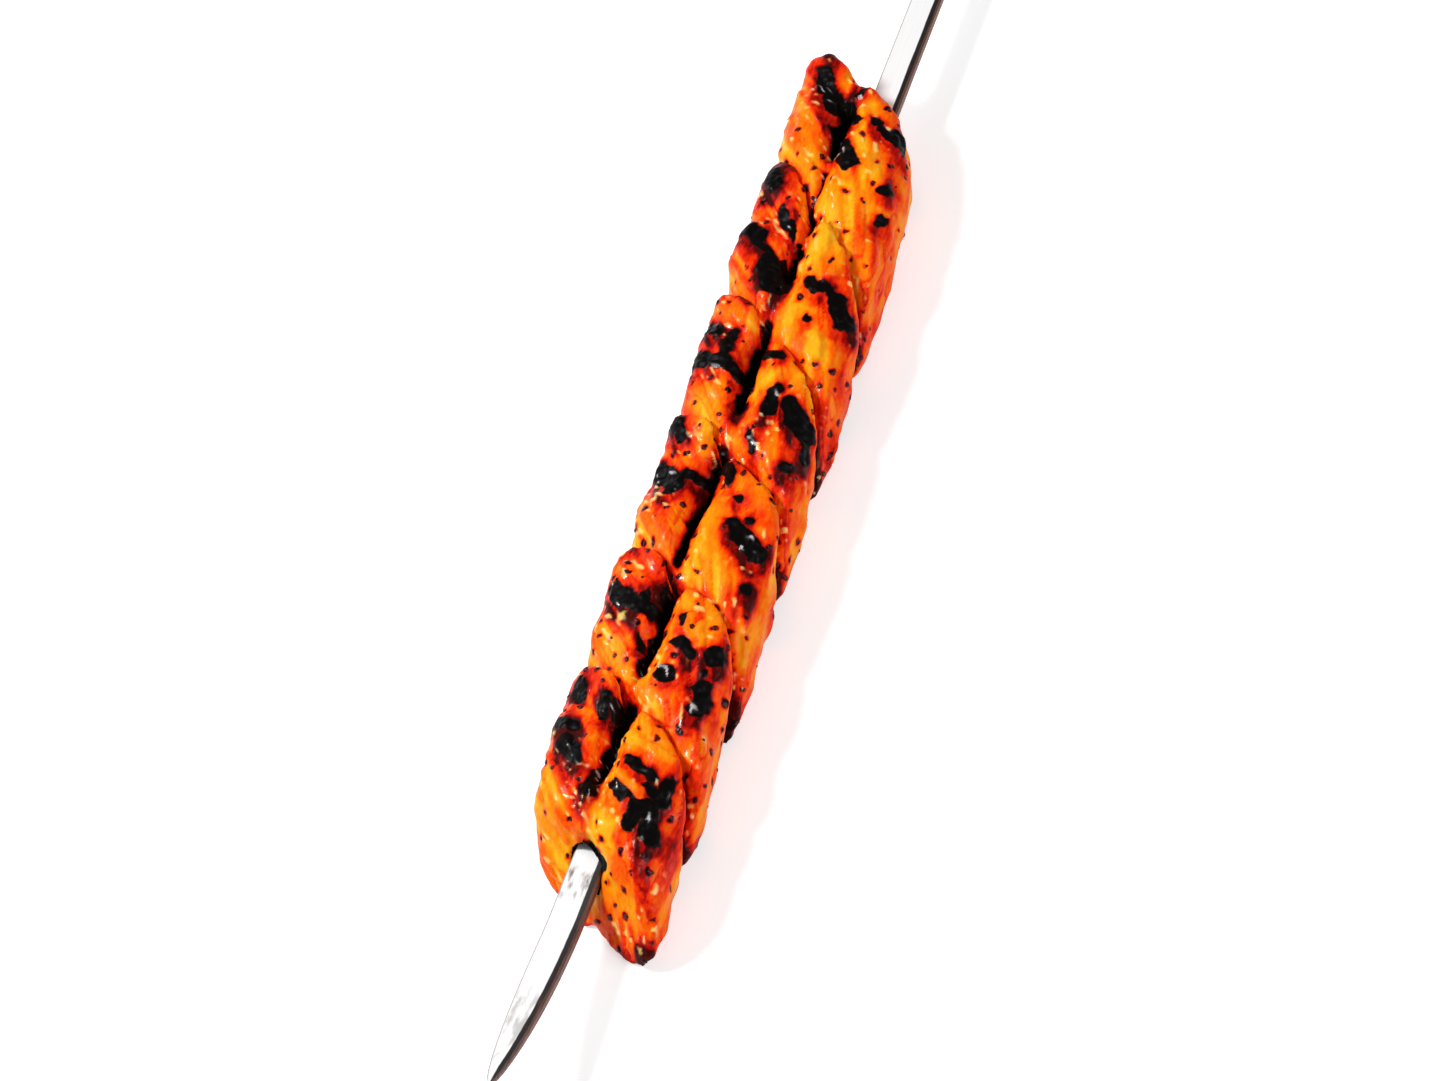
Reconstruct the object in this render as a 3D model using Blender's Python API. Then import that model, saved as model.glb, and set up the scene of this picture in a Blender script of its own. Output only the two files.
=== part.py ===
"""Chicken kebab skewer: six pieces of grilled chicken, threaded slantwise on a flat steel skewer.

Run with: blender --background --python part.py

Metres, +Z up. The skewer runs along Y with its point towards -Y, and the kebab lies on the plane
Z = 0. The origin is on that plane, under the middle of the skewer's length.
"""

import math

import bmesh
import bpy
from mathutils import Vector, noise

MM = 0.001

# The flat skewer.
BLADE_LENGTH = 480 * MM
BLADE_WIDTH = 10.5 * MM
BLADE_THICKNESS = 3.2 * MM
BLADE_CHAMFER = 0.6 * MM
BLADE_HEIGHT = 14 * MM  # of its centre line above the surface
POINT_LENGTH = 46 * MM  # over which the blade narrows to its point
POINT_WIDTH = 1.0 * MM
POINT_THICKNESS = 1.4 * MM
POINT_RISE = 8 * MM  # the free end is bowed up by use
BARE_POINT_LENGTH = 71 * MM  # from the point's tip to the first piece, measured along the blade

# The meat. Lengths run along the skewer, from the point's end upwards.
PIECE_LENGTHS = [length * MM for length in (43, 43, 47, 43, 48, 64)]
MEAT_WIDTH = 50 * MM
MEAT_HEIGHT = 29 * MM
MEAT_REACH = 27 * MM  # the furthest that any of the meat stands out on either side of the blade
MEAT_OFFSET_NEAR = 2.2 * MM  # the meat sits to the blade's right at the point's end
MEAT_OFFSET_FAR = -3.2 * MM  # and to its left at the far end
OVERPRESS = 0.8 * MM  # how far each rounded underside is pressed flat by the surface
FACE_GAP = 0.7 * MM  # between neighbours, measured along the skewer
BLADE_GAP = 0.35 * MM  # between the meat and the blade, all round

# Each face between two pieces slants: its height along the skewer drops by SLANT for each unit to
# the right and rises by LEAN for each unit upwards. It leans more, and bends back, on the right.
FACE_SLANTS = (0.42, 0.80, 0.68, 0.78, 0.92, 1.25, 0.62)
FACE_LEANS = (0.85, 0.95, 0.95, 1.00, 1.05, 1.10, 0.45)
FACE_BOW = 5.0  # per metre of width
RIGHT_LEANS = (0.0, 0.50, 0.52, 0.55, 0.58, 0.60, 0.25)  # added to the lean
RIGHT_LEAN_REACH = 20 * MM

# A piece's form.
SECTION_POWER = 3.4  # of its rounded section: 2 is an ellipse, and more is boxier
END_POWER = 9.0  # of its rounded ends
CUTS = 9
CENTRE_CROWDING = 1.6  # crowds the mesh towards the crease
CREASE_PLACE = -1.8 * MM  # of the crease over the skewer, from the meat's middle
CREASE_DEPTH = 8.0 * MM
CREASE_WIDTH = 2.5 * MM
CREASE_WANDER = 2.0 * MM
CREASE_NEAR = 0.45  # how much of its depth is left at each piece's near end
UNDER_CREASE_DEPTH = 3.0 * MM
FOLD_DEPTH = 2.8 * MM  # of the fold across each left lobe
FOLD_PLACES = (0.35, 0.62, 0.48, 0.30, 0.12, 0.42)  # along the piece, from -1 to 1
FOLD_WIDTH = 0.17
FOLD_START = 4 * MM  # from the crease
TOP_SHIFT = -1.6 * MM  # the top leans over the left side
LUMP_HEIGHT = 1.5 * MM
LUMP_SIZE = 15 * MM
END_TAPER = 0.20  # the last piece narrows on the right towards its far end
MOUTH_DEPTH = 5.0 * MM  # of the hollow over the blade where it leaves the meat at the point's end
MOUTH_WIDTH = 5.5 * MM
MOUTH_HEIGHT = 3.5 * MM


def material(name, colour, roughness, metallic=0.0):
    made = bpy.data.materials.new(name)
    made.use_nodes = True
    shader = made.node_tree.nodes["Principled BSDF"]
    shader.inputs["Base Color"].default_value = (*colour, 1.0)
    shader.inputs["Roughness"].default_value = roughness
    shader.inputs["Metallic"].default_value = metallic
    return made


def add_object(name, bm, look):
    mesh = bpy.data.meshes.new(name)
    bmesh.ops.recalc_face_normals(bm, faces=bm.faces)
    bm.to_mesh(mesh)
    bm.free()
    mesh.materials.append(look)
    mesh.shade_smooth()
    mesh.set_sharp_from_angle(angle=math.radians(50))
    obj = bpy.data.objects.new(name, mesh)
    bpy.context.scene.collection.objects.link(obj)
    return obj


# ---- skewer


def blade_ring(bm, y, z, width, thickness):
    """One chamfered cross-section of the blade, as vertices in order round it."""
    chamfer = min(BLADE_CHAMFER, width / 4, thickness / 4)
    half_x, half_z = width / 2, thickness / 2
    corner = [(half_x, half_z - chamfer), (half_x - chamfer, half_z)]
    right_top = corner
    left_top = [(-x, dz) for x, dz in reversed(corner)]
    left_bottom = [(-x, -dz) for x, dz in corner]
    right_bottom = [(x, -dz) for x, dz in reversed(corner)]
    outline = right_top + left_top + left_bottom + right_bottom
    return [bm.verts.new((x, y, z + dz)) for x, dz in outline]


def taper(share):
    """The point's width at a share of the way from its tip to the full blade, as a share of the full width."""
    return (1 - (1 - share) ** 2) ** 0.6


def blade_sections():
    """(y, z, width, thickness) along the blade, from the tip of its point to its plain round end."""
    tip = -BLADE_LENGTH / 2
    bow_end = tip + BARE_POINT_LENGTH - 14 * MM
    steps = 12
    for i in range(steps + 1):
        share = i / steps
        y = tip + POINT_LENGTH * share**1.3
        narrowing = taper((y - tip) / POINT_LENGTH)
        rise = POINT_RISE * ((bow_end - y) / (bow_end - tip)) ** 1.4
        width = POINT_WIDTH + (BLADE_WIDTH - POINT_WIDTH) * narrowing
        thickness = POINT_THICKNESS + (BLADE_THICKNESS - POINT_THICKNESS) * narrowing
        yield y, BLADE_HEIGHT + rise, width, thickness
    bow_steps = 3
    bow_start = tip + POINT_LENGTH
    for i in range(1, bow_steps + 1):
        y = bow_start + (bow_end - bow_start) * i / bow_steps
        rise = POINT_RISE * ((bow_end - y) / (bow_end - tip)) ** 1.4
        yield y, BLADE_HEIGHT + rise, BLADE_WIDTH, BLADE_THICKNESS
    round_steps = 6
    for i in range(round_steps + 1):
        turn = math.radians(80) * i / round_steps
        y = BLADE_LENGTH / 2 - BLADE_WIDTH / 2 * (1 - math.sin(turn) / math.sin(math.radians(80)))
        yield y, BLADE_HEIGHT, BLADE_WIDTH * math.cos(turn), BLADE_THICKNESS


def skewer(look):
    bm = bmesh.new()
    rings = [blade_ring(bm, *section) for section in blade_sections()]
    for low, high in zip(rings, rings[1:]):
        for i, corner in enumerate(low):
            after = (i + 1) % len(low)
            bm.faces.new((corner, low[after], high[after], high[i]))
    bm.faces.new(reversed(rings[0]))
    bm.faces.new(rings[-1])
    return add_object("skewer_blade", bm, look)


def slot_cutter(start, end):
    """The straight slot that the blade takes up in the meat."""
    bm = bmesh.new()
    bmesh.ops.create_cube(bm, size=1)
    size = Vector((BLADE_WIDTH + 2 * BLADE_GAP, end - start, BLADE_THICKNESS + 2 * BLADE_GAP))
    middle = Vector((0, (start + end) / 2, BLADE_HEIGHT))
    for vert in bm.verts:
        vert.co = vert.co * size + middle
    mesh = bpy.data.meshes.new("slot_cutter")
    bm.to_mesh(mesh)
    bm.free()
    cutter = bpy.data.objects.new("slot_cutter", mesh)
    cutter.hide_render = True
    cutter.display_type = "WIRE"
    bpy.context.scene.collection.objects.link(cutter)
    return cutter


# ---- meat


def bump(distance, width):
    return math.exp(-((distance / width) ** 2))


def smooth_step(share):
    share = max(0.0, min(1.0, share))
    return share**2 * (3 - 2 * share)


def face_places():
    """Where each of the faces crosses the skewer, from the point's end upwards."""
    places = [-BLADE_LENGTH / 2 + BARE_POINT_LENGTH]
    for length in PIECE_LENGTHS:
        places.append(places[-1] + length)
    return places


def face_at(index, places, x, z):
    """How far along the skewer a slanted face lies at this place across the kebab."""
    lean = FACE_LEANS[index] + RIGHT_LEANS[index] * smooth_step(x / RIGHT_LEAN_REACH)
    bow = FACE_BOW * max(0.0, x) ** 2
    return places[index] - FACE_SLANTS[index] * x - bow + lean * (z - BLADE_HEIGHT)


def mouth(x, z):
    """The hollow over the blade in the first piece's near face."""
    return MOUTH_DEPTH * bump(x, MOUTH_WIDTH) * bump(z - BLADE_HEIGHT - MOUTH_HEIGHT, MOUTH_HEIGHT)


def rounded_block(cube):
    """A point of the unit cube's surface, carried onto the rounded block's surface."""
    across, along, up = cube
    section = (abs(across) ** SECTION_POWER + abs(up) ** SECTION_POWER) ** (END_POWER / SECTION_POWER)
    across, along, up = cube / (section + abs(along) ** END_POWER) ** (1 / END_POWER)
    return math.copysign(abs(across) ** CENTRE_CROWDING, across), along, up


def piece_point(cube, number, places):
    """A point of the unit cube's surface, carried onto piece number's surface."""
    across, along, up = rounded_block(cube)
    top, under = max(0.0, up), max(0.0, -up)

    seed = Vector((3.1, 7.7, 1.9)) * (number + 1)
    where = Vector((across * MEAT_WIDTH, along * PIECE_LENGTHS[number], up * MEAT_HEIGHT)) / 2
    lump = noise.noise(where / LUMP_SIZE + seed)
    swell = 1 + lump * LUMP_HEIGHT / (MEAT_HEIGHT / 2)

    sideways = across * MEAT_WIDTH / 2
    crease = CREASE_PLACE + CREASE_WANDER * noise.noise(seed)
    x = sideways * swell + TOP_SHIFT * up + crease * (1 - across**2) * top
    z = up * MEAT_HEIGHT / 2 * swell
    deepening = CREASE_NEAR + (1 - CREASE_NEAR) * smooth_step(along / 2 + 0.75)
    z -= CREASE_DEPTH * deepening * top * bump(sideways, CREASE_WIDTH)
    z += UNDER_CREASE_DEPTH * under * bump(sideways, CREASE_WIDTH)
    left = smooth_step(-sideways / FOLD_START)
    z -= FOLD_DEPTH * top * left * bump(along - FOLD_PLACES[number], FOLD_WIDTH)
    z += MEAT_HEIGHT / 2 - OVERPRESS

    if number == len(PIECE_LENGTHS) - 1:
        far = max(0.0, along) * max(0.0, across)
        x -= END_TAPER * MEAT_WIDTH / 2 * far
        z -= END_TAPER * MEAT_HEIGHT * far * top

    share = (number + (1 + along) / 2) / len(PIECE_LENGTHS)
    x += MEAT_OFFSET_NEAR + (MEAT_OFFSET_FAR - MEAT_OFFSET_NEAR) * share
    x = max(-MEAT_REACH, min(MEAT_REACH, x))
    z = max(0.0, z)
    low = face_at(number, places, x, z) + FACE_GAP / 2
    high = face_at(number + 1, places, x, z) - FACE_GAP / 2
    if number == 0:
        low += mouth(x, z)
    return Vector((x, low + (high - low) * (1 + along) / 2, z))


def chicken_piece(number, places, cutter, look):
    bm = bmesh.new()
    bmesh.ops.create_cube(bm, size=2)
    bmesh.ops.subdivide_edges(bm, edges=bm.edges, cuts=CUTS, use_grid_fill=True)
    for vert in bm.verts:
        vert.co = piece_point(vert.co, number, places)
    bmesh.ops.triangulate(bm, faces=bm.faces)
    obj = add_object(f"chicken_piece_{number + 1}", bm, look)
    slot = obj.modifiers.new("slot", "BOOLEAN")
    slot.operation = "DIFFERENCE"
    slot.object = cutter
    return obj


def main():
    for obj in list(bpy.data.objects):
        bpy.data.objects.remove(obj, do_unlink=True)
    steel = material("heat_darkened_steel", (0.55, 0.54, 0.52), 0.35, 1.0)
    chicken = material("grilled_chicken", (0.90, 0.32, 0.02), 0.35)
    places = face_places()
    reach = MEAT_WIDTH
    skewer(steel)
    cutter = slot_cutter(places[0] - reach, places[-1] + reach)
    for number in range(len(PIECE_LENGTHS)):
        chicken_piece(number, places, cutter, chicken)


main()
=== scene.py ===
"""Looks of the chicken kebab skewer: glossy, charred grilled chicken on a steel blade with a black margin.

Each CAD piece of chicken is replaced by a finely meshed one with the same outline. Its relief, its burnt,
red and golden places, its painted shade and its painted highlights are worked out at each vertex, in
millimetres, in the part's frame.
"""

import itertools
import math

import bmesh
import bpy
import numpy as np
from mathutils import Matrix, Vector


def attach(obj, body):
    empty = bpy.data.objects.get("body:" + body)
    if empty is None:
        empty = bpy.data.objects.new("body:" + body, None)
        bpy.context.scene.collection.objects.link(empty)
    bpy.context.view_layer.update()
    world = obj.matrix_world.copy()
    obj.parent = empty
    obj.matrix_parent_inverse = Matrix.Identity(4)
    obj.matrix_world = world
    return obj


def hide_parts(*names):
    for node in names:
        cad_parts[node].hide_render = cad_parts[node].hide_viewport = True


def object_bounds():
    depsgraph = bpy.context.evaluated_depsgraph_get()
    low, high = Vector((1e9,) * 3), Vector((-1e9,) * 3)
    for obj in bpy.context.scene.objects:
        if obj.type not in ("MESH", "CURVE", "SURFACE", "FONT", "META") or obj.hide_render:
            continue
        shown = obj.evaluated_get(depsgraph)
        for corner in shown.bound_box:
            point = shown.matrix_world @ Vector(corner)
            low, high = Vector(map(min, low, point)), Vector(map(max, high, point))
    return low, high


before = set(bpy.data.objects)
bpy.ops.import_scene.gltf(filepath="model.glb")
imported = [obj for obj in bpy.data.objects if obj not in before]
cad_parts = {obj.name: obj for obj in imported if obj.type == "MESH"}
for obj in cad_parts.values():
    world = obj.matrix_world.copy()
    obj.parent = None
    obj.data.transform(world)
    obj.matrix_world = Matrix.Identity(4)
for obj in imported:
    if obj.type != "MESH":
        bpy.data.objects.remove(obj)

CAD_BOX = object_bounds()
MM = 0.001
TIP_Y = CAD_BOX[0][1]
PIECES = 6
FAR = 99.0  # mm, farther than any distance that matters here

# The blade, in mm.
BLADE_HEIGHT = 14
BLADE_HALF_WIDTH = 5.25
BLADE_TIP_HALF_WIDTH = 0.5
BLADE_POINT_LENGTH = 46
BLACK_MARGIN = 2.1
GREY_MARGIN = 0.9
SMUDGE_BY_MEAT, SMUDGE_BY_POINT = -172.5, -222  # y

# The meat's mesh.
COARSE_VOXEL = 1.0 * MM
SMOOTHING_ROUNDS = 9
FLOOR_CLEARANCE = 0.1  # mm

# Burnt strokes on the top, seen from above: (x, y) to (x, y) and half a width, all in mm.
CHAR_STROKES = (
    # first piece, left lobe and crease
    ((-20, -127), (-14, -128), 2.2), ((-15, -134), (-10, -138), 3.2), ((-3, -141), (-3, -149), 2.2),
    ((-9, -118), (-8, -123), 2.1), ((-4, -119), (-3, -122), 2.5), ((-20, -112), (-17, -117), 2.2),
    # first piece, right lobe
    ((6, -137), (14, -141), 1.6), ((19, -141), (19, -147), 2.5), ((14, -144), (18, -146), 1.6),
    ((5, -146), (8, -148), 2.6), ((13, -150), (12, -157), 2.2), ((16, -150), (19, -159), 3.0),
    ((9, -148), (15, -149), 1.2),
    # second piece
    ((-21, -79), (-16, -83), 3.2), ((-15, -84), (-3, -87), 2.8), ((-9, -81), (-9, -86), 2.0),
    ((-4, -77), (-2, -84), 1.8), ((-6, -92), (-5, -99), 1.0), ((6, -88), (7, -88), 2.0),
    ((6, -95), (12, -99), 2.0), ((18, -97), (19, -98), 2.8), ((6, -106), (7, -107), 2.6),
    ((17, -103), (17, -103), 1.5), ((18, -108), (19, -115), 2.8),
    # third piece
    ((-21, -35), (-14, -41), 3.7), ((-12, -36), (-5, -37), 2.2), ((-4, -26), (3, -37), 2.0),
    ((7, -42), (8, -43), 1.8), ((14, -49), (14, -49), 1.8), ((8, -52), (10, -52), 1.8),
    ((12, -54), (19, -60), 3.2), ((19, -72), (20, -72), 2.0), ((-23, -17), (-18, -22), 2.5),
    # fourth piece
    ((-24, 8), (-15, 6), 3.0), ((-14, 7), (-6, 2), 2.2), ((-15, 18), (-14, 9), 2.0),
    ((-5, 14), (3, 10), 2.0), ((-3, -9), (-3, -10), 2.5), ((7, -2), (7, -11), 2.3),
    ((13, -7), (18, -13), 3.5), ((19, -14), (21, -22), 2.0), ((4, -19), (6, -24), 1.5),
    ((18, -28), (18, -28), 2.2), ((-24, 21), (-20, 18), 2.0),
    # fifth piece
    ((-25, 60), (-18, 56), 2.8), ((-19, 56), (-12, 50), 1.5), ((-11, 46), (-7, 38), 4.0),
    ((-15, 68), (-5, 56), 1.6), ((-23, 84), (-20, 77), 2.8), ((4, 41), (8, 38), 2.0),
    ((8, 40), (13, 36), 1.8), ((14, 36), (18, 28), 3.0), ((7, 27), (8, 27), 2.0),
    # sixth piece
    ((-19, 127), (-16, 119), 3.0), ((-13, 117), (-11, 112), 3.0), ((-8, 114), (-4, 108), 3.0),
    ((-5, 120), (-4, 121), 2.6), ((-8, 104), (-2, 95), 2.2), ((-3, 95), (2, 89), 3.0),
    ((4, 109), (5, 109), 2.0), ((6, 107), (10, 105), 1.5), ((12, 106), (17, 103), 3.4),
    ((17, 102), (20, 96), 2.0), ((16, 82), (16, 82), 2.2), ((17, 71), (17, 71), 2.0),
)

# Stretches of the crease over the blade that are burnt black: from y, to y and half a width.
CREASE_BURNS = (
    (-141, -117, 1.2), (-105, -79, 1.3), (-67, -30, 1.2), (-8, 13, 1.8), (12, 25, 1.0),
    (45, 57, 1.1), (63, 86, 0.5), (95, 110, 1.5),
)

# Sinews and folds that stand up from the top: (x, y) to (x, y) and half a width.
SINEWS = (
    ((-18, -121), (-10, -125), 1.6), ((-10, -125), (-6, -139), 1.8), ((2, -129), (17, -134), 1.7),
    ((4, -141), (13, -147), 1.5), ((-8, -90), (-4, -93), 1.5), ((8, -87), (9, -94), 1.4),
    ((12, -88), (13, -95), 1.4), ((-11, -17), (-9, -27), 2.0), ((-10, 33), (-9, 22), 2.0),
    ((-8, 84), (-5, 72), 2.6), ((-9, 70), (-5, 56), 1.8), ((3, 62), (3, 48), 1.8),
    ((9, 62), (10, 46), 1.6), ((12, 20), (13, 6), 2.0),
)

# The slanted faces between the pieces, in mm: where each crosses the blade, and how it slopes.
FACE_PLACES = (-169, -126, -83, -36, 7, 55, 119)
FACE_SLANTS = (0.42, 0.80, 0.68, 0.78, 0.92, 1.25, 0.62)
FACE_LEANS = (0.85, 0.95, 0.95, 1.00, 1.05, 1.10, 0.45)
RIGHT_LEANS = (0.0, 0.50, 0.52, 0.55, 0.58, 0.60, 0.25)
RIGHT_LEAN_REACH = 20
FACE_BOW = 0.005

# Where the blade comes out of the first piece, as an ellipsoid in mm.
MOUTH_CENTRE = (0, -167, 17)
MOUTH_SIZE = (6.5, 7, 3.6)

# How high the relief stands and how deep it cuts, in mm.
LUMPS, SMALL_LUMPS = 0.6, 0.26
STRANDS, SEAM_DEPTH = 0.42, 0.3
CRUST, CRUST_LUMPS, CRUST_GRIT = 0.2, 0.32, 0.36
SINEW_HEIGHT = 0.9
JUICE_HEIGHT = 0.25
EDGE_HEIGHT = 0.35
MOUTH_DEPTH = 1.2
LEFT_SWELL = 1.1
GROOVE_DEPTH, BURNT_GROOVE_DEPTH = 0.4, 1.9
CREASE_FILL = 3.4

# Burnt spots on each piece where no stroke reaches, and spice flecks. Lengths are in mm.
HIDDEN_SPOTS = 9
HIDDEN_SPOT_RADII = (1.2, 3.4)
FLECKS_PER_PIECE = 60
FLECK_SPACING = 4.2
FLECK_RADII = (0.5, 1.1)


# ---- numbers on vertices


def smooth_step(value, low, high):
    """0 below low, 1 above high, and a smooth rise between them."""
    share = np.clip((value - low) / (high - low), 0, 1)
    return share * share * (3 - 2 * share)


def mound(value, centre, width):
    """1 where the value is at the centre, fading to both sides."""
    return np.exp(-(((value - centre) / width) ** 2))


def fade(distance, reach):
    """1 inside a thing, fading with the distance outside it."""
    return np.exp(-np.maximum(distance, 0) / reach)


def lattice(cells, seed):
    """A random number from -1 to 1 for each whole-numbered place."""
    x, y, z = (cells[:, axis].astype(np.uint32) for axis in range(3))
    mixed = x * np.uint32(374761393) + y * np.uint32(668265263) + z * np.uint32(3266489917)
    mixed += np.uint32(seed * 40503 + 977)
    mixed = (mixed ^ (mixed >> np.uint32(13))) * np.uint32(1274126177)
    mixed = (mixed ^ (mixed >> np.uint32(15))) * np.uint32(2246822519)
    return (mixed ^ (mixed >> np.uint32(16))).astype(float) / 2**31 - 1


def noise(points, size, seed):
    """Smooth noise from -1 to 1. size is its lumps' size along each axis, in mm."""
    scaled = points / np.asarray(size, dtype=float) + 500
    base = np.floor(scaled)
    share = scaled - base
    share = share**3 * (share * (share * 6 - 15) + 10)
    total = np.zeros(len(points))
    for corner in itertools.product((0, 1), repeat=3):
        weight = np.prod(np.where(corner, share, 1 - share), axis=1)
        total += weight * lattice(base.astype(np.int64) + corner, seed)
    return total


def warped(points, size, reach, seed):
    """The points, each moved a little, so that what is measured from them has an uneven edge."""
    moves = [noise(points, size, seed + axis) for axis in range(3)]
    return points + reach * np.stack(moves, axis=1)


def stroke_distance(points, strokes, stretch=1.0):
    """How far each point lies outside the nearest stroke, seen from above. Inside is negative."""
    nearest = np.full(len(points), FAR)
    for start, end, half_width in strokes:
        start, run = np.array(start, float), np.subtract(end, start).astype(float)
        offset = points[:, :2] - start
        share = np.clip(offset @ run / max(run @ run, 1e-6), 0, 1)
        away = offset - share[:, None] * run
        away[:, 1] /= stretch
        nearest = np.minimum(nearest, np.hypot(away[:, 0], away[:, 1]) - half_width)
    return nearest


def spot_distance(points, spots):
    """How far each point lies outside the nearest round spot, given as a centre and a radius."""
    nearest = np.full(len(points), FAR)
    for centre, radius in spots:
        nearest = np.minimum(nearest, np.linalg.norm(points - centre, axis=1) - radius)
    return nearest


def get_vectors(items, name):
    """A vector property of many items, as an array with a row for each."""
    numbers = np.empty(len(items) * 3)
    items.foreach_get(name, numbers)
    return numbers.reshape(-1, 3)


def add_mask(mesh, name, values):
    """A number for each vertex, which a material reads by its name."""
    mask = mesh.attributes.new(name, "FLOAT", "POINT")
    mask.data.foreach_set("value", np.clip(values, 0, 1).astype(np.float32))


# ---- materials


class Look:
    """A material under construction, with short ways to add and link its nodes."""

    def __init__(self, name):
        self.material = bpy.data.materials.new(name)
        self.material.use_nodes = True
        self.tree = self.material.node_tree
        self.shader = self.tree.nodes["Principled BSDF"]

    def node(self, kind, inputs=(), **settings):
        made = self.tree.nodes.new(kind)
        for name, value in settings.items():
            setattr(made, name, value)
        for socket, value in dict(inputs).items():
            self.set(made.inputs[socket], value)
        return made

    def set(self, socket, value):
        if isinstance(value, bpy.types.NodeSocket):
            self.tree.links.new(value, socket)
        else:
            socket.default_value = value

    def math(self, operation, first, second=0.0, clamp=False):
        made = self.node("ShaderNodeMath", {0: first, 1: second}, operation=operation, use_clamp=clamp)
        return made.outputs[0]

    def mix(self, share, first, second):
        made = self.node("ShaderNodeMix", {0: share, 6: first, 7: second}, data_type="RGBA")
        return made.outputs[2]

    def ramp(self, value, stops):
        made = self.node("ShaderNodeValToRGB", {0: value})
        elements = made.color_ramp.elements
        elements[0].position, elements[1].position = stops[0][0], stops[-1][0]
        elements[0].color, elements[1].color = stops[0][1], stops[-1][1]
        for place, colour in stops[1:-1]:
            elements.new(place).color = colour
        return made.outputs[0]

    def place(self, size_mm):
        """The place on the object, scaled so that one unit is size_mm along each axis."""
        coordinates = self.node("ShaderNodeTexCoord").outputs["Object"]
        scale = tuple(1 / (size * MM) for size in size_mm)
        return self.node("ShaderNodeMapping", {"Vector": coordinates, "Scale": scale}).outputs[0]

    def noise(self, size_mm, detail=2.0, roughness=0.5):
        inputs = {"Vector": self.place(size_mm), "Scale": 1.0, "Detail": detail, "Roughness": roughness}
        return self.node("ShaderNodeTexNoise", inputs).outputs[0]

    def varied(self, value, reach):
        """A noise's value, moved from about 0.5 to about 0 and multiplied."""
        return self.math("MULTIPLY", self.math("SUBTRACT", value, 0.5), reach)

    def near(self, value, centre, reach):
        """1 where the value is at the centre, falling to 0 at twice the reach."""
        away = self.math("ABSOLUTE", self.math("SUBTRACT", value, centre))
        return self.math("SUBTRACT", 2.0, self.math("DIVIDE", away, reach), clamp=True)

    def mask(self, name):
        return self.node("ShaderNodeAttribute", attribute_name=name).outputs["Fac"]

    def finish(self, **inputs):
        for name, value in inputs.items():
            self.set(self.shader.inputs[name.replace("_", " ")], value)
        return self.material


def rgb(red, green, blue):
    """A colour as it looks on a screen, from 0 to 255, as the linear colour that shaders take."""
    def linear(value):
        value /= 255
        return value / 12.92 if value <= 0.04045 else ((value + 0.055) / 1.055) ** 2.4
    return linear(red), linear(green), linear(blue), 1.0


# painted highlights: the pale yellow is painted on the meat's juice spots, the whitish grey as glints on the
# char
HIGHLIGHT_PALE = rgb(255, 228, 128)
GOLD = rgb(255, 184, 28)
AMBER = rgb(255, 148, 8)
ORANGE = rgb(252, 98, 0)
RED_ORANGE = rgb(240, 48, 0)
RED = rgb(182, 8, 0)
MAROON = rgb(66, 3, 2)
BLACK = rgb(6, 3, 3)
GLINT_WHITE = rgb(226, 222, 226)
NONE, FULL = (0, 0, 0, 1), (1, 1, 1, 1)


def chicken_look():
    """Browned meat with char and painted shade, pale juice spots and char glints that are painted
    highlights, and uneven gloss, from the masks on the vertices.
    """
    look = Look("grilled_chicken")
    grain = look.noise((1.1, 3.2, 1.3), 3.0, 0.6)
    speckle = look.noise((1.2, 1.5, 1.2), 3.0, 0.6)
    patchy = look.noise((2.4, 3.5, 2.4), 2.0)

    # this mask also holds painted shade, and is lowered under the painted highlights
    heat_and_painted_light = look.math("ADD", look.mask("browning_and_painted_light"), look.varied(grain, 0.42))
    heat_and_painted_light = look.math("ADD", heat_and_painted_light, look.varied(speckle, 0.16))
    stops = ((0.0, GOLD), (0.2, AMBER), (0.44, ORANGE), (0.62, RED_ORANGE), (0.8, RED), (0.97, MAROON))
    meat = look.ramp(heat_and_painted_light, stops)

    ragged = look.math("ADD", look.mask("char_and_shade"), look.varied(speckle, 0.7))
    # this ramp also covers the painted shade in the blade's mouth and the black of the slot
    burnt = look.ramp(ragged, ((0.3, NONE), (0.68, FULL)))
    colour = look.mix(burnt, meat, BLACK)
    # painted highlights: pale yellow spots on the meat and whitish glints on the char, from the juice mask
    sharpness = look.math("ADD", look.math("MULTIPLY", burnt, 4.0), 2.0)
    highlight_dots = look.math("MULTIPLY", look.math("POWER", look.mask("juice_and_highlight"), sharpness), 0.68)
    colour = look.mix(highlight_dots, colour, look.mix(burnt, HIGHLIGHT_PALE, GLINT_WHITE))

    shine = look.ramp(patchy, ((0.48, (0.02, 0.02, 0.02, 1)), (0.68, (0.22, 0.22, 0.22, 1))))
    shine = look.math("MULTIPLY", look.math("SUBTRACT", 1.0, burnt), shine)
    shine = look.math("ADD", shine, look.mask("juice_and_highlight"), clamp=True)
    bump = look.node("ShaderNodeBump", {"Strength": 0.12, "Distance": 0.25 * MM, "Height": grain})
    return look.finish(
        Base_Color=colour, Roughness=look.math("ADD", look.math("MULTIPLY", patchy, 0.3), 0.3),
        Normal=bump.outputs[0], Specular_IOR_Level=0.06, Coat_Weight=shine, Coat_Roughness=0.15,
        Subsurface_Weight=0.12, Subsurface_Radius=(1.0, 0.35, 0.12), Subsurface_Scale=1.5 * MM,
    )


def fleck_look():
    """Dark, reddish crumbs of spice."""
    look = Look("spice_flecks")
    tone = look.noise((0.8, 0.8, 0.8), 2.0)
    colour = look.ramp(tone, ((0.35, rgb(30, 5, 4)), (0.7, rgb(96, 10, 4))))
    return look.finish(Base_Color=colour, Roughness=0.4, Specular_IOR_Level=0.25)


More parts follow.
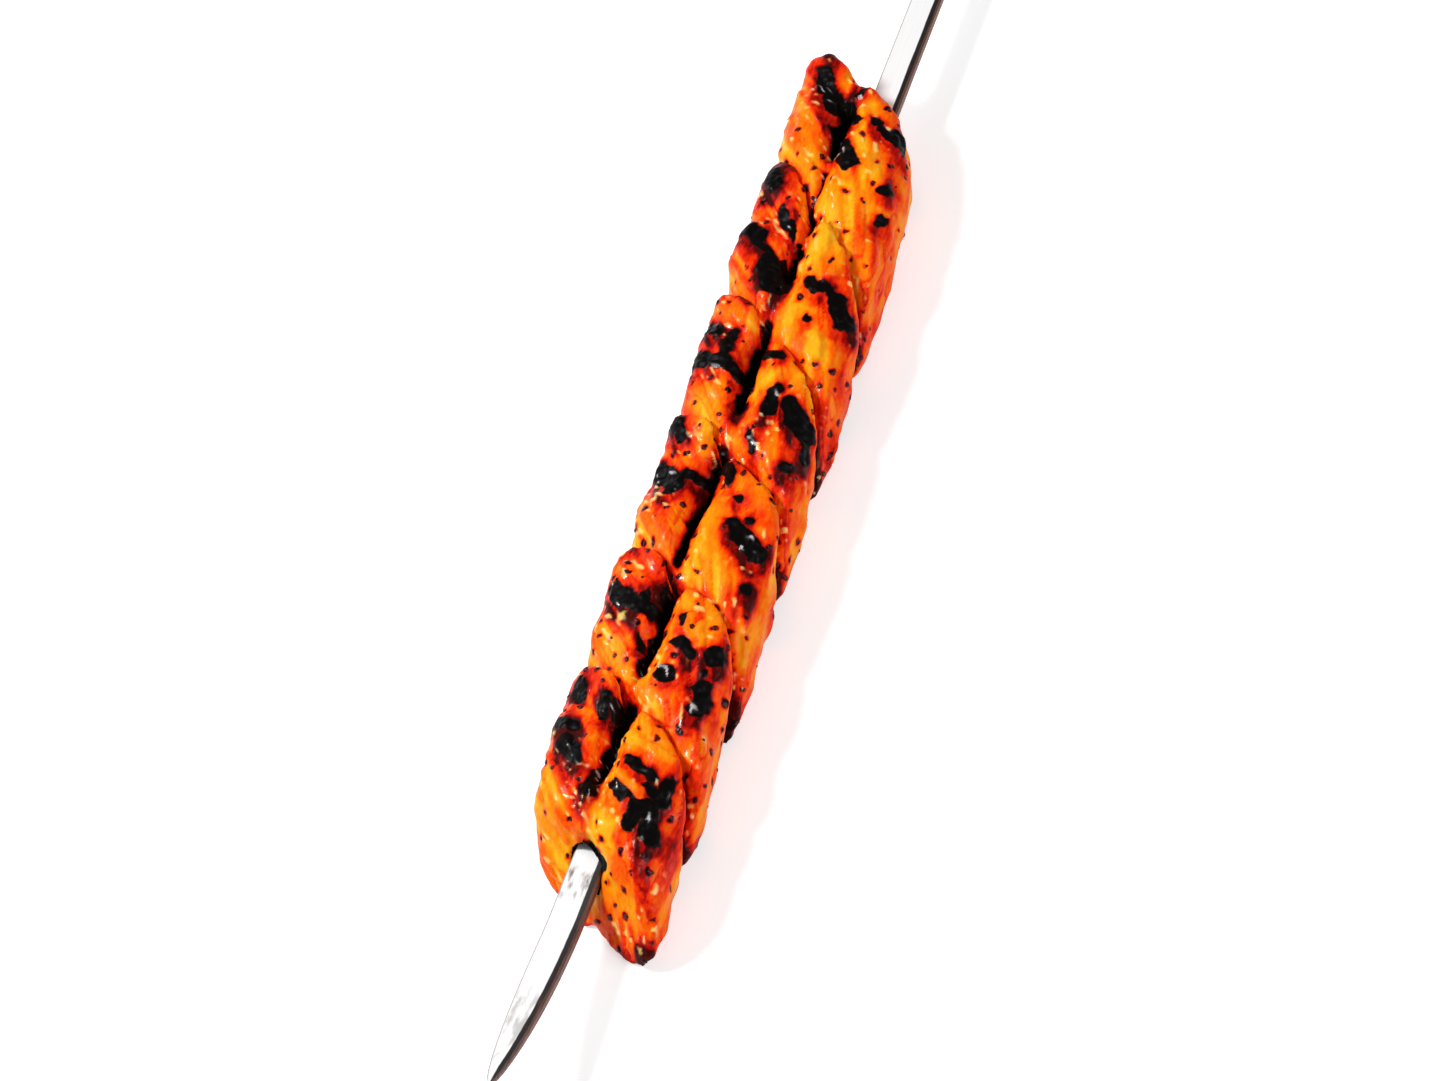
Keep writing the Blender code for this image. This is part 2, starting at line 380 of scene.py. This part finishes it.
def steel_look():
    """Steel with a near-white face that is painted reflection, a black right margin, brown sides and smudges
    by the meat and the point.
    """
    look = Look("heat_darkened_steel")
    coordinates = look.node("ShaderNodeTexCoord").outputs["Object"]
    where = look.node("ShaderNodeSeparateXYZ", {0: coordinates}).outputs
    facing = look.node("ShaderNodeNewGeometry").outputs["Normal"]
    sideways = look.math("ABSOLUTE", look.node("ShaderNodeSeparateXYZ", {0: facing}).outputs[0])
    brushed = look.noise((0.25, 14, 0.25), 3.0, 0.6)
    stain = look.noise((2.2, 7, 2.2), 3.0)

    x, y = look.math("DIVIDE", where[0], MM), look.math("DIVIDE", where[1], MM)
    share = look.math("DIVIDE", look.math("SUBTRACT", y, TIP_Y / MM), BLADE_POINT_LENGTH, clamp=True)
    narrowing = look.math("POWER", look.math("SUBTRACT", 1.0, share), 2.0)
    narrowing = look.math("POWER", look.math("SUBTRACT", 1.0, narrowing), 0.6)
    half_width = look.math("MULTIPLY", narrowing, BLADE_HALF_WIDTH - BLADE_TIP_HALF_WIDTH)
    half_width = look.math("ADD", half_width, BLADE_TIP_HALF_WIDTH)
    from_right = look.math("SUBTRACT", half_width, x)
    from_left = look.math("ADD", half_width, x)
    width = look.math("MINIMUM", BLACK_MARGIN, look.math("MULTIPLY", half_width, 0.85))
    band = look.math("SUBTRACT", look.math("ADD", width, look.varied(stain, 0.5)), from_right)
    band = look.ramp(look.math("ADD", band, 0.5), ((0.38, NONE), (0.62, FULL)))
    line = look.math("SUBTRACT", 1.0, look.math("DIVIDE", from_left, GREY_MARGIN), clamp=True)

    # painted reflection: the face's near-white colour, on a surface with little metal, stands in for
    # polished steel's bright reflection
    face = look.ramp(brushed, ((0.3, rgb(248, 248, 248)), (0.7, rgb(255, 255, 255))))
    # near-black along the right margin of the face, browner where the stain noise is high
    margin_black = look.ramp(stain, ((0.35, rgb(12, 8, 8)), (0.6, rgb(24, 15, 13)), (0.85, rgb(84, 50, 40))))
    brown = look.ramp(brushed, ((0.3, rgb(58, 28, 22)), (0.7, rgb(150, 98, 80))))
    grey = rgb(128, 118, 116)
    faint = look.math("MULTIPLY", look.near(y, SMUDGE_BY_POINT, 9), 0.5)
    smudges = look.math("MAXIMUM", look.near(y, SMUDGE_BY_MEAT, 3.2), faint)
    smudges = look.math("MULTIPLY", smudges, look.ramp(stain, ((0.46, NONE), (0.64, FULL))))
    face = look.mix(look.math("MAXIMUM", smudges, look.math("MULTIPLY", line, 0.7)), face, grey)
    colour = look.mix(band, face, margin_black)
    sides = look.ramp(sideways, ((0.5, NONE), (0.85, FULL)))
    colour = look.mix(sides, colour, brown)

    dull = look.math("MAXIMUM", band, sides)
    roughness = look.math("ADD", look.math("MULTIPLY", brushed, 0.15), 0.36)
    metal = look.math("SUBTRACT", 0.12, look.math("MULTIPLY", dull, 0.1))
    return look.finish(Base_Color=colour, Roughness=roughness, Metallic=metal)


def floor_look():
    """Pale and plain. To the camera and in reflections it is lifted, so that it reads as white."""
    look = Look("pale_floor")
    look.finish(Base_Color=(0.82, 0.82, 0.82, 1.0), Roughness=0.9, Specular_IOR_Level=0.0)
    path = look.node("ShaderNodeLightPath").outputs
    seen = look.math("MAXIMUM", path["Is Camera Ray"], path["Is Glossy Ray"])
    seen = look.math("MAXIMUM", seen, path["Is Transmission Ray"])
    strength = look.math("MULTIPLY", seen, 0.5)
    look.set(look.shader.inputs["Emission Color"], (1, 1, 1, 1))
    look.set(look.shader.inputs["Emission Strength"], strength)
    return look.material


# ---- meat


def fine_copy(node, name):
    """A finely and evenly meshed copy of a CAD node, with its facets smoothed away."""
    piece = bpy.data.objects.new(name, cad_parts[node].data.copy())
    bpy.context.scene.collection.objects.link(piece)
    bm = bmesh.new()
    bm.from_mesh(piece.data)
    bmesh.ops.remove_doubles(bm, verts=bm.verts, dist=0.005 * MM)
    bm.to_mesh(piece.data)
    bm.free()
    remesh = piece.modifiers.new("voxels", "REMESH")
    remesh.mode = "VOXEL"
    remesh.voxel_size = COARSE_VOXEL
    smooth = piece.modifiers.new("smooth", "SMOOTH")
    smooth.iterations = SMOOTHING_ROUNDS
    finer = piece.modifiers.new("finer", "SUBSURF")
    finer.levels = 1
    finer.render_levels = 1
    evaluated = piece.evaluated_get(bpy.context.evaluated_depsgraph_get())
    mesh = bpy.data.meshes.new_from_object(evaluated)
    piece.modifiers.clear()
    old, piece.data = piece.data, mesh
    bpy.data.meshes.remove(old)
    mesh.name = name
    mesh.shade_smooth()
    return piece


def hidden_spots(points, normals, seed):
    """Burnt spots on the left flank and the underside, which have no strokes of their own."""
    rng = np.random.default_rng(seed)
    under_or_left = (normals[:, 2] < -0.5) | ((normals[:, 0] < -0.6) & (normals[:, 2] < 0.2))
    hidden = np.flatnonzero(under_or_left & (normals[:, 1] > -0.4))
    chosen = rng.choice(hidden, HIDDEN_SPOTS, replace=False)
    return [(points[index], rng.uniform(*HIDDEN_SPOT_RADII)) for index in chosen]


def face_at(index, points):
    """How far along the skewer a slanted face lies, at each point's place across the kebab."""
    x, z = points[:, 0], points[:, 2]
    lean = FACE_LEANS[index] + RIGHT_LEANS[index] * smooth_step(x, 0, RIGHT_LEAN_REACH)
    bow = FACE_BOW * np.maximum(x, 0) ** 2
    return FACE_PLACES[index] - FACE_SLANTS[index] * x - bow + lean * (z - BLADE_HEIGHT)


def crease_place(points, normals):
    """How far to the side the crease runs: where the top is lowest, in the middle of most slices."""
    top = points[(normals[:, 2] > 0.2) & (np.abs(points[:, 0] + 2) < 6) & (points[:, 2] > 15)]
    slices = np.round(top[:, 1] / 2).astype(int)
    lowest = []
    for number in np.unique(slices):
        members = top[slices == number]
        lowest.append(members[members[:, 2].argmin(), 0])
    return float(np.median(lowest))


def crease_distance(points, place):
    """How far each point lies outside the burnt stretches of the crease."""
    nearest = np.full(len(points), FAR)
    aside = np.abs(points[:, 0] - place)
    for low, high, half_width in CREASE_BURNS:
        beyond = np.maximum(np.maximum(low - points[:, 1], points[:, 1] - high), 0)
        nearest = np.minimum(nearest, np.hypot(aside, beyond) - half_width)
    return nearest


def fleck_places(points, normals, burnt, rng):
    """(vertex, radius in mm) for each fleck, none of them close to another or on a burnt place."""
    shown = np.flatnonzero((normals[:, 2] > -0.35) & (burnt > 1.5))
    kept = []
    for index in rng.choice(shown, 12 * FLECKS_PER_PIECE, replace=False):
        near = [other for other, _ in kept if np.linalg.norm(points[other] - points[index]) < FLECK_SPACING]
        if not near and len(kept) < FLECKS_PER_PIECE:
            kept.append((index, rng.uniform(*FLECK_RADII)))
    return kept


class Meat:
    """What is known of each vertex of one piece of chicken. Places and distances are in mm."""

    def __init__(self, number, mesh):
        self.number = number
        self.seed = 100 * number
        self.points = get_vectors(mesh.vertices, "co") / MM
        self.normals = get_vectors(mesh.vertex_normals, "vector")
        self.x, self.y, self.z = self.points.T
        self.crease_x = crease_place(self.points, self.normals)
        self.aside = self.x - self.crease_x
        self.over_near_face = self.y - face_at(number, self.points)
        self.under_far_face = face_at(number + 1, self.points) - self.y
        self.measure_burns()
        self.place_flecks()
        self.comb()
        self.make_shares()

    def noise(self, size, salt, combed=False):
        return noise(self.combed if combed else self.points, size, self.seed + salt)

    def measure_burns(self):
        """How far outside burns, sinews and the blade's mouth. All have ragged edges."""
        self.ragged = warped(warped(self.points, 4.5, 1.1, self.seed + 1), 1.7, 0.55, self.seed + 5)
        off_top = 9 * (1 - smooth_step(self.normals[:, 2], -0.1, 0.55))
        spots = hidden_spots(self.points, self.normals, self.seed)
        self.burnt = stroke_distance(self.ragged, CHAR_STROKES) + off_top
        self.burnt = np.minimum(self.burnt, spot_distance(self.ragged, spots))
        # the meat is singed farther along than across, and mostly on the side of the point
        singed = stroke_distance(self.ragged + (0, 1.8, 0), CHAR_STROKES, 1.5) + 0.6 * off_top
        self.singed = np.minimum(singed, self.burnt)
        self.crease = crease_distance(self.ragged, self.crease_x) + 9 * smooth_step(-self.z, -17, -12)
        self.sinew = stroke_distance(self.ragged, SINEWS) + off_top
        self.mouth = np.linalg.norm((self.ragged - MOUTH_CENTRE) / MOUTH_SIZE, axis=1)

    def place_flecks(self):
        rng = np.random.default_rng(self.seed + 7)
        self.flecks = fleck_places(self.points, self.normals, self.burnt, rng)
        self.fleck = spot_distance(self.ragged, [(self.points[index], size) for index, size in self.flecks])

    def comb(self):
        """Strands and the seams between them, which run slantwise, more so on the left lobe."""
        slope = np.where(self.aside < 0, 0.85, 0.42 - 0.008 * np.maximum(self.x, 0))
        along = self.y - (FACE_PLACES[self.number] + FACE_PLACES[self.number + 1]) / 2
        self.combed = np.stack((self.x + slope * along, along, self.z), axis=1)
        self.strand = self.noise((2.1, 17, 3.2), 13, combed=True)
        self.seam = mound(self.strand, 0, 0.1)
        self.seam *= smooth_step(self.noise((5, 12, 6), 23, combed=True), -0.2, 0.4)

    def make_shares(self):
        """From 0 to 1: char, sinews bare of char, the dark hooked tip, the raised edge and juice, whose pale
        spots are also painted highlights.
        """
        x, z = self.x, self.z
        self.bare = smooth_step(-self.sinew, -0.5, 0.7)
        self.char = smooth_step(-self.burnt, -0.9, 1.0) * (1 - 0.9 * self.bare)
        self.hook = smooth_step(x, 17, 23) * smooth_step(-self.over_near_face, -9, -3)
        self.hook *= smooth_step(-z, -13, -6)
        self.edge = mound(self.over_near_face, 2.5, 1.6) * smooth_step(x, 10, 15) * smooth_step(-x, -25, -21)
        self.juice_and_highlight = smooth_step(self.noise((1.6, 2.1, 1.6), 19, combed=True), 0.36, 0.78)
        self.juice_and_highlight *= smooth_step(self.noise((8, 9, 8), 21), -0.5, 0.3)
        self.juice_and_highlight *= smooth_step(self.normals[:, 2], 0.2, 0.7)


def blackness(meat):
    """How black each place is: char, the burnt crease, the slot, painted shade in its mouth, tips and
    flecks.
    """
    slot = (np.abs(meat.x) < 5.8) & (np.abs(meat.z - BLADE_HEIGHT) < 2.4)
    black = np.maximum(meat.char, smooth_step(-meat.crease, -0.8, 0.4))
    # painted shade: black in the hollow where the blade comes out of the first piece
    black = np.maximum(black, smooth_step(-meat.mouth, -1.05, -0.85))
    black = np.maximum(black, np.where(slot, 0.9, 0))
    if meat.number > 0:
        black = np.maximum(black, 0.62 * meat.hook)
    return np.maximum(black, 0.9 * smooth_step(-meat.fleck, -0.3, 0.4))


def between_pieces(meat):
    """1 on the faces that touch another piece."""
    near_face = meat.over_near_face if meat.number > 0 else FAR
    far_face = meat.under_far_face if meat.number < PIECES - 1 else FAR
    return smooth_step(-np.minimum(far_face, near_face), -1.6, -0.4)


def browning_and_painted_light(meat, black):
    """How browned the unburnt meat is, with painted shade added and paler ground under painted highlights: 0
    is golden, about 0.5 orange and 1 dark red.
    """
    x, z, aside = meat.x, meat.z, meat.aside
    # uneven all over, and red round the char
    heat_and_painted_light = 0.26 + 0.2 * meat.noise((8, 15, 9), 17, combed=True) + 0.23 * meat.strand
    heat_and_painted_light += 0.58 * fade(meat.singed, 2.2)
    # golden on the right lobe's back, and redder towards the left lobe's far end
    heat_and_painted_light -= 0.24 * mound(aside, 7, 4.5) * smooth_step(z, 16, 22) * smooth_step(meat.under_far_face, 3, 9)
    share = meat.under_far_face / (meat.under_far_face + meat.over_near_face)
    heat_and_painted_light += (0.05 + 0.1 * (0.5 - share)) * (aside < 0)
    # painted shade: dark in the seams and along the crease; also dark round the crease's burnt stretches and
    # round flecks
    heat_and_painted_light += 0.2 * meat.seam
    heat_and_painted_light = np.maximum(heat_and_painted_light, 0.95 * fade(meat.crease, 1.5))
    heat_and_painted_light += 0.2 * mound(aside, 0, 2.0) * smooth_step(z, 12, 16)
    heat_and_painted_light = np.maximum(heat_and_painted_light, 0.85 * fade(meat.fleck, 0.7))
    # red at the left corners and the hooked tips; painted shade: redder at the raised edge, on the right
    # flank, low down and between the pieces
    heat_and_painted_light += 0.5 * smooth_step(-x, 11, 20) * smooth_step(-meat.under_far_face, -13, -2)
    heat_and_painted_light += 0.75 * meat.hook + 0.35 * smooth_step(-z, -9, -1) + 0.3 * between_pieces(meat)
    heat_and_painted_light += 0.15 * smooth_step(x, 17, 23) + 0.14 * meat.edge
    # paler under the juice spots, as part of their painted highlight, and on sinews
    heat_and_painted_light -= 0.2 * meat.juice_and_highlight * (1 - black)
    heat_and_painted_light -= 0.38 * meat.bare * np.clip(heat_and_painted_light, 0, 1)
    # painted shade: redder on the right lobe just before the next piece's face
    return heat_and_painted_light + 0.22 * smooth_step(-meat.under_far_face, -5, -1) * smooth_step(x, 4, 9)


def relief(meat):
    """How far each place stands out along its normal, and how far it is then let down."""
    soft = 1 - meat.char
    height = LUMPS * meat.noise((6, 8, 6), 11) + SMALL_LUMPS * meat.noise((2.8, 4, 2.8), 12)
    height += soft * (STRANDS * meat.strand - SEAM_DEPTH * meat.seam)
    height += meat.char * (CRUST + CRUST_GRIT * meat.noise(1.6, 14) + CRUST_LUMPS * meat.noise(3.1, 15))
    height += soft * SINEW_HEIGHT * mound(np.maximum(meat.sinew + 1.2, 0), 0, 1.5)
    height += JUICE_HEIGHT * meat.juice_and_highlight + EDGE_HEIGHT * meat.edge
    height -= MOUTH_DEPTH * smooth_step(-meat.mouth, -1.2, -0.6)
    height += LEFT_SWELL * smooth_step(-meat.x, 12, 20) * smooth_step(meat.y, 10, 50)

    sunk = GROOVE_DEPTH * mound(meat.aside, 0, 1.4) * smooth_step(meat.z, 13, 17)
    sunk += BURNT_GROOVE_DEPTH * mound(np.maximum(meat.crease + 1.6, 0), 0, 1.4)
    filled = CREASE_FILL * mound(meat.aside, 0, 2.4) * smooth_step(meat.z, 12, 16)
    filled *= smooth_step(meat.crease, 0, 6) * (1 + 0.4 * meat.noise((2.5, 5, 4), 25, combed=True))
    return height, sunk - filled


def dress_piece(number, look):
    """One piece of chicken with its relief and masks, and the places of its spice flecks."""
    node = f"chicken_piece_{number + 1}"
    piece = fine_copy(node, f"grilled_chicken_{number + 1}")
    mesh = piece.data
    meat = Meat(number, mesh)
    black = blackness(meat)
    height, sunk = relief(meat)

    moved = meat.points + meat.normals * height[:, None]
    moved[:, 2] = np.maximum(moved[:, 2] - sunk, FLOOR_CLEARANCE)
    mesh.vertices.foreach_set("co", (moved * MM).ravel())
    mesh.update()
    add_mask(mesh, "char_and_shade", black)
    add_mask(mesh, "browning_and_painted_light", browning_and_painted_light(meat, black))
    add_mask(mesh, "juice_and_highlight", meat.juice_and_highlight)
    mesh.materials.clear()
    mesh.materials.append(look)
    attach(piece, "root")
    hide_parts(node)
    return piece, meat.flecks


# ---- spice flecks


def add_fleck(bm, centre, normal, size, rng):
    """A small flat crumb, pressed into the surface."""
    turn = normal.to_track_quat("Z", "Y").to_matrix().to_4x4()
    spin = Matrix.Rotation(rng.uniform(0, math.tau), 4, "Z")
    shape = Matrix.Diagonal((size, size * rng.uniform(0.6, 0.95), size * 0.3, 1))
    matrix = Matrix.Translation(centre) @ turn @ spin @ shape
    made = bmesh.ops.create_icosphere(bm, subdivisions=2, radius=1, matrix=matrix)
    for vert in made["verts"]:
        vert.co = centre + (vert.co - centre) * rng.uniform(0.82, 1.12)


def spice_flecks(dressed, look):
    """All the flecks, as one mesh."""
    rng = np.random.default_rng(7)
    bm = bmesh.new()
    for piece, flecks in dressed:
        mesh = piece.data
        for index, size in flecks:
            vert = mesh.vertices[index]
            add_fleck(bm, vert.co, vert.normal, size * MM, rng)
    mesh = bpy.data.meshes.new("spice_flecks")
    bm.to_mesh(mesh)
    bm.free()
    mesh.materials.append(look)
    mesh.shade_smooth()
    flecks = bpy.data.objects.new("spice_flecks", mesh)
    bpy.context.scene.collection.objects.link(flecks)
    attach(flecks, "root")


# ---- studio


def floor(look):
    bpy.ops.mesh.primitive_plane_add(size=8)
    made = bpy.context.object
    made.name = "floor"
    made.data.materials.append(look)


def lamp(name, place, size, energy):
    """A round white lamp that faces the kebab."""
    light = bpy.data.lights.new(name, "AREA")
    light.shape = "DISK"
    light.size = size
    light.energy = energy
    made = bpy.data.objects.new(name, light)
    made.location = place
    made.rotation_euler = Vector(place).to_track_quat("Z", "Y").to_euler()
    bpy.context.scene.collection.objects.link(made)


def studio():
    """A small key lamp on the left, a large soft one on the right and an even, pale world."""
    lamp("key", (-0.75, -0.15, 0.90), 0.30, 12.5)
    lamp("fill", (1.1, -0.2, 0.75), 0.9, 8.5)
    world = bpy.data.worlds.new("studio")
    bpy.context.scene.world = world
    world.use_nodes = True
    tree = world.node_tree
    tree.nodes["Background"].inputs["Color"].default_value = (1, 1, 1, 1)
    path = tree.nodes.new("ShaderNodeLightPath")
    strength = tree.nodes.new("ShaderNodeMapRange")
    strength.inputs["To Min"].default_value = 0.25
    tree.links.new(path.outputs["Is Camera Ray"], strength.inputs["Value"])
    tree.links.new(strength.outputs["Result"], tree.nodes["Background"].inputs["Strength"])
    bpy.context.scene.view_settings.view_transform = "Standard"


# The camera looks down on the kebab from its right side and its pointed end, and is rolled.
CAMERA_DISTANCE = 1.05
CAMERA_LENS = 87  # mm, on a sensor 36 mm wide
CAMERA_TILT = math.radians(30)  # back from straight above, towards the point's end
CAMERA_SIDE = math.radians(25)  # round towards the right side
CAMERA_ROLL = math.radians(21.35)
CAMERA_TARGET = Vector((1.3 * MM, TIP_Y + 189.7 * MM, 14 * MM))


def camera():
    cos_tilt, sin_tilt = math.cos(CAMERA_TILT), math.sin(CAMERA_TILT)
    cos_side, sin_side = math.cos(CAMERA_SIDE), math.sin(CAMERA_SIDE)
    back = Vector((cos_tilt * sin_side, -sin_tilt, cos_tilt * cos_side))
    across = Vector((cos_side, 0, -sin_side))
    along = back.cross(across)
    right = math.sin(CAMERA_ROLL) * along + math.cos(CAMERA_ROLL) * across
    up = math.cos(CAMERA_ROLL) * along - math.sin(CAMERA_ROLL) * across
    data = bpy.data.cameras.new("camera")
    data.lens = CAMERA_LENS
    data.sensor_width = 36
    made = bpy.data.objects.new("camera", data)
    matrix = Matrix((right, up, back)).transposed().to_4x4()
    matrix.translation = CAMERA_TARGET + CAMERA_DISTANCE * back
    made.matrix_world = matrix
    bpy.context.scene.collection.objects.link(made)
    bpy.context.scene.camera = made


def main():
    camera()
    studio()
    floor(floor_look())
    chicken = chicken_look()
    dressed = [dress_piece(number, chicken) for number in range(PIECES)]
    spice_flecks(dressed, fleck_look())
    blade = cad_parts["skewer_blade"]
    blade.data.materials.clear()
    blade.data.materials.append(steel_look())


main()
